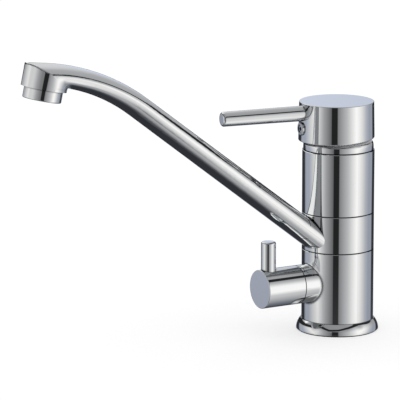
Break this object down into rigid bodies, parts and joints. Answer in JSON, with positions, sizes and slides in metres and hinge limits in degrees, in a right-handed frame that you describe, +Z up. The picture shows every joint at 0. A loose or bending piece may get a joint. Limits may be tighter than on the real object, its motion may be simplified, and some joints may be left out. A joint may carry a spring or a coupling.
{
  "type": "kitchen mixer tap",
  "caption": "Chrome single-lever kitchen mixer tap with a long swivelling flat-oval spout, a turning and tilting lever cap and a quarter-turn appliance valve on the side of its column.",
  "frame": {"origin": "centre of the column's foot, on the deck that the tap stands on", "axes": "+Z up the column, the spout and the appliance valve point along -Y at rest, +X is on the right of someone who stands at the spout's end and faces the column"},
  "size_m": [0.0548, 0.2627, 0.2003],
  "materials": {
    "chrome": "bright chrome plating on brass",
    "brass": "turned, bare",
    "steel": "stainless steel",
    "rubber": "black sealing rubber",
    "jet_plastic": "white acetal",
    "bearing_plastic": "black acetal",
    "cartridge_plastic": "grey glass-filled plastic",
    "ceramic": "lapped alumina"
  },
  "bodies": {
    "column": {"base_flange": "chrome", "base_gasket": "rubber", "lower_body": "chrome", "upper_body": "chrome", "body_joint_seal": "rubber", "swivel_o_rings": "rubber", "swivel_slip_rings": "bearing_plastic", "cartridge_base": "cartridge_plastic", "cartridge_port_seals": "rubber", "fixed_disc": "ceramic", "cartridge_housing": "cartridge_plastic", "cartridge_nut": "brass", "dome_ring": "chrome", "valve_headwork": "brass", "valve_seat_seal": "rubber", "valve_fixed_disc": "ceramic"},
    "spout": {"spout_collar": "chrome", "spout_arm": "chrome", "aerator_housing": "chrome", "aerator_insert": "jet_plastic", "aerator_washer": "rubber"},
    "rotor": {"cartridge_rotor": "cartridge_plastic", "tilt_pin": "steel"},
    "handle": {"cartridge_spindle": "brass", "handle_cap": "chrome", "lever_rod": "chrome", "screw_plug": "chrome", "handle_grub_screw": "steel"},
    "disc_slider": {"moving_disc": "ceramic", "disc_carrier": "cartridge_plastic"},
    "valve": {"valve_knob": "chrome", "valve_pin": "chrome", "valve_spindle": "brass", "valve_moving_disc": "ceramic", "valve_knob_screw": "steel"}
  },
  "joints": [
    {"name": "spout_swivel", "type": "hinge", "parent": "column", "child": "spout", "pos_m": [0, 0, 0.0678], "axis": [0, 0, 1], "continuous": true},
    {"name": "handle_turn", "type": "hinge", "parent": "column", "child": "rotor", "pos_m": [0, 0, 0.1231], "axis": [0, 0, 1], "range_deg": [-36.4, 53.6]},
    {"name": "handle_lift", "type": "hinge", "parent": "rotor", "child": "handle", "pos_m": [0, 0, 0.1231], "axis": [-0.9888, 0.1495, 0], "range_deg": [0, 18]},
    {"name": "disc_slide", "type": "slide", "parent": "rotor", "child": "disc_slider", "axis": [-0.1495, -0.9888, 0], "range_m": [0, 0.0051]},
    {"name": "valve_turn", "type": "hinge", "parent": "column", "child": "valve", "pos_m": [0, -0.04, 0.0336], "axis": [0, -1, 0], "range_deg": [0, 90]}
  ],
  "couplings": [
    {"joint": "disc_slide", "follows": "handle_lift", "m_per_rad": 0.01615}
  ]
}
